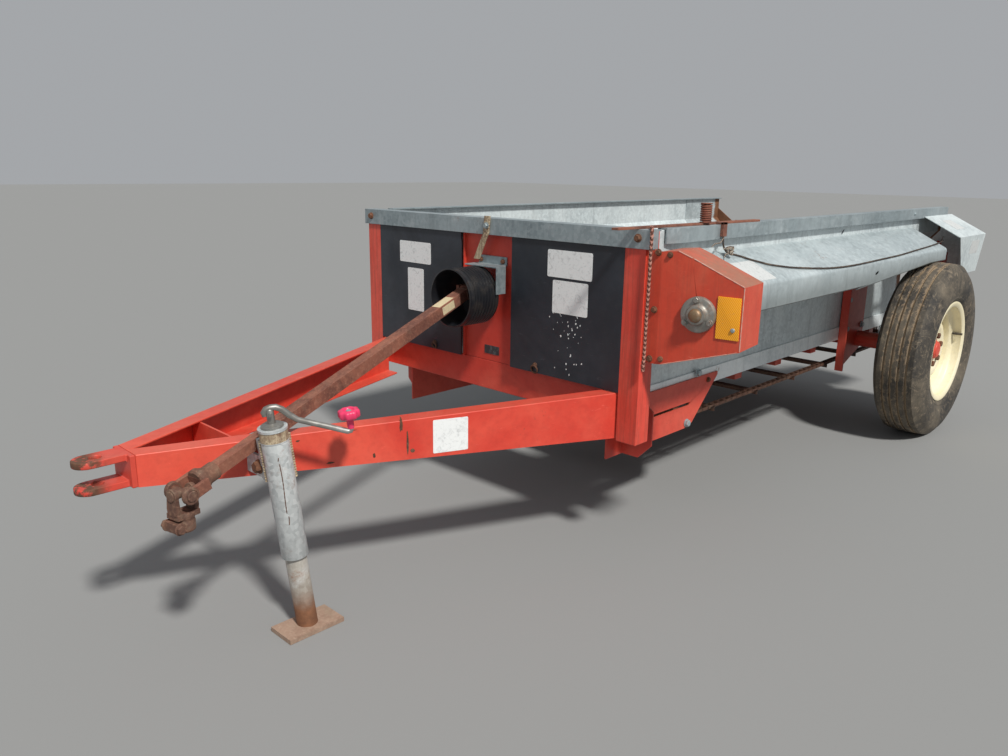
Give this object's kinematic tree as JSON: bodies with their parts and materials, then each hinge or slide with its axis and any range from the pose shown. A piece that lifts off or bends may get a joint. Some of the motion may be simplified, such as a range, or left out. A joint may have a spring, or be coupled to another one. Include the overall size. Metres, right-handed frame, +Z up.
{
  "type": "manure spreader",
  "caption": "Towed spreader with a flared sheet-metal box, chain apron, rear paddle beater, A-frame tongue on a screw jack and a drive shaft with a shielded side driveline.",
  "frame": {"origin": "on the ground, under the middle of the whole machine's length and width", "axes": "+X forward along the machine to the hitch, +Y to its left side, +Z up"},
  "size_m": [3.76, 1.7168, 1.0113],
  "materials": {
    "frame_paint": "weathered red enamel",
    "panel_paint": "weathered black enamel",
    "galvanised": "dull zinc coating on steel sheet",
    "bearing_steel": "dull cast bearing housing",
    "rusty_steel": "rusty bare steel",
    "wheel_paint": "chalky cream enamel",
    "tyre": "dusty rubber",
    "bell_plastic": "matt black plastic",
    "reflector": "amber reflector",
    "cord": "dull cord",
    "rope": "faded rope"
  },
  "bodies": {
    "chassis": {"tongue_rail_left": "frame_paint", "tongue_rail_right": "frame_paint", "tongue_gusset": "frame_paint", "hitch_clevis": "frame_paint", "front_cross_member": "frame_paint", "corner_posts": "frame_paint", "front_rim": "galvanised", "front_panels": "panel_paint", "centre_plate": "frame_paint", "front_wall": "galvanised", "side_walls": "galvanised", "side_rails": "galvanised", "rear_sides": "rusty_steel", "floor": "rusty_steel", "floor_cross_members": "frame_paint", "sills": "galvanised", "front_brackets": "frame_paint", "apron_chain": "rusty_steel", "apron_shafts": "rusty_steel", "axle": "frame_paint", "axle_brackets": "frame_paint", "driveline_shield": "galvanised", "front_guard": "frame_paint", "reflector": "reflector", "drive_bearing": "bearing_steel", "drive_shaft": "rusty_steel", "beater_gearbox": "frame_paint", "rear_hood": "galvanised", "pto_bell": "bell_plastic", "bell_bracket": "galvanised", "input_shaft": "rusty_steel", "jack_tube": "galvanised", "jack_crank": "galvanised", "control_lever": "rusty_steel", "rim_strap": "rusty_steel", "control_cord": "cord", "hanging_rope": "rope"},
    "wheel_left": {"tyre_left": "tyre", "wheel_rim_left": "wheel_paint", "hub_left": "frame_paint"},
    "wheel_right": {"tyre_right": "tyre", "wheel_rim_right": "wheel_paint", "hub_right": "frame_paint"},
    "beater": {"beater": "rusty_steel"},
    "jack_leg": {"jack_leg": "rusty_steel"},
    "pto_shaft": {"pto_shaft": "rusty_steel"},
    "pto_yoke": {"pto_yoke": "rusty_steel"}
  },
  "joints": [
    {"name": "wheel_left_spin", "type": "hinge", "parent": "chassis", "child": "wheel_left", "pos_m": [-1.319, 0.7475, 0.369], "axis": [0, 1, 0], "continuous": true},
    {"name": "wheel_right_spin", "type": "hinge", "parent": "chassis", "child": "wheel_right", "pos_m": [-1.319, -0.7475, 0.369], "axis": [0, 1, 0], "continuous": true},
    {"name": "beater_spin", "type": "hinge", "parent": "chassis", "child": "beater", "pos_m": [-1.71, 0, 0.668], "axis": [0, 1, 0], "continuous": true},
    {"name": "jack_leg_slide", "type": "slide", "parent": "chassis", "child": "jack_leg", "axis": [0.1219, 0, 0.9925], "range_m": [-0.1, 0.13]},
    {"name": "pto_shaft_lift", "type": "hinge", "parent": "chassis", "child": "pto_shaft", "pos_m": [0.695, 0, 0.73], "axis": [0.2062, -0.9785, 0], "range_deg": [0, 25]},
    {"name": "pto_yoke_swing", "type": "hinge", "parent": "pto_shaft", "child": "pto_yoke", "pos_m": [1.73807, 0.21981, 0.42293], "axis": [-0.2062, 0.9785, 0], "range_deg": [-40, 12]}
  ]
}
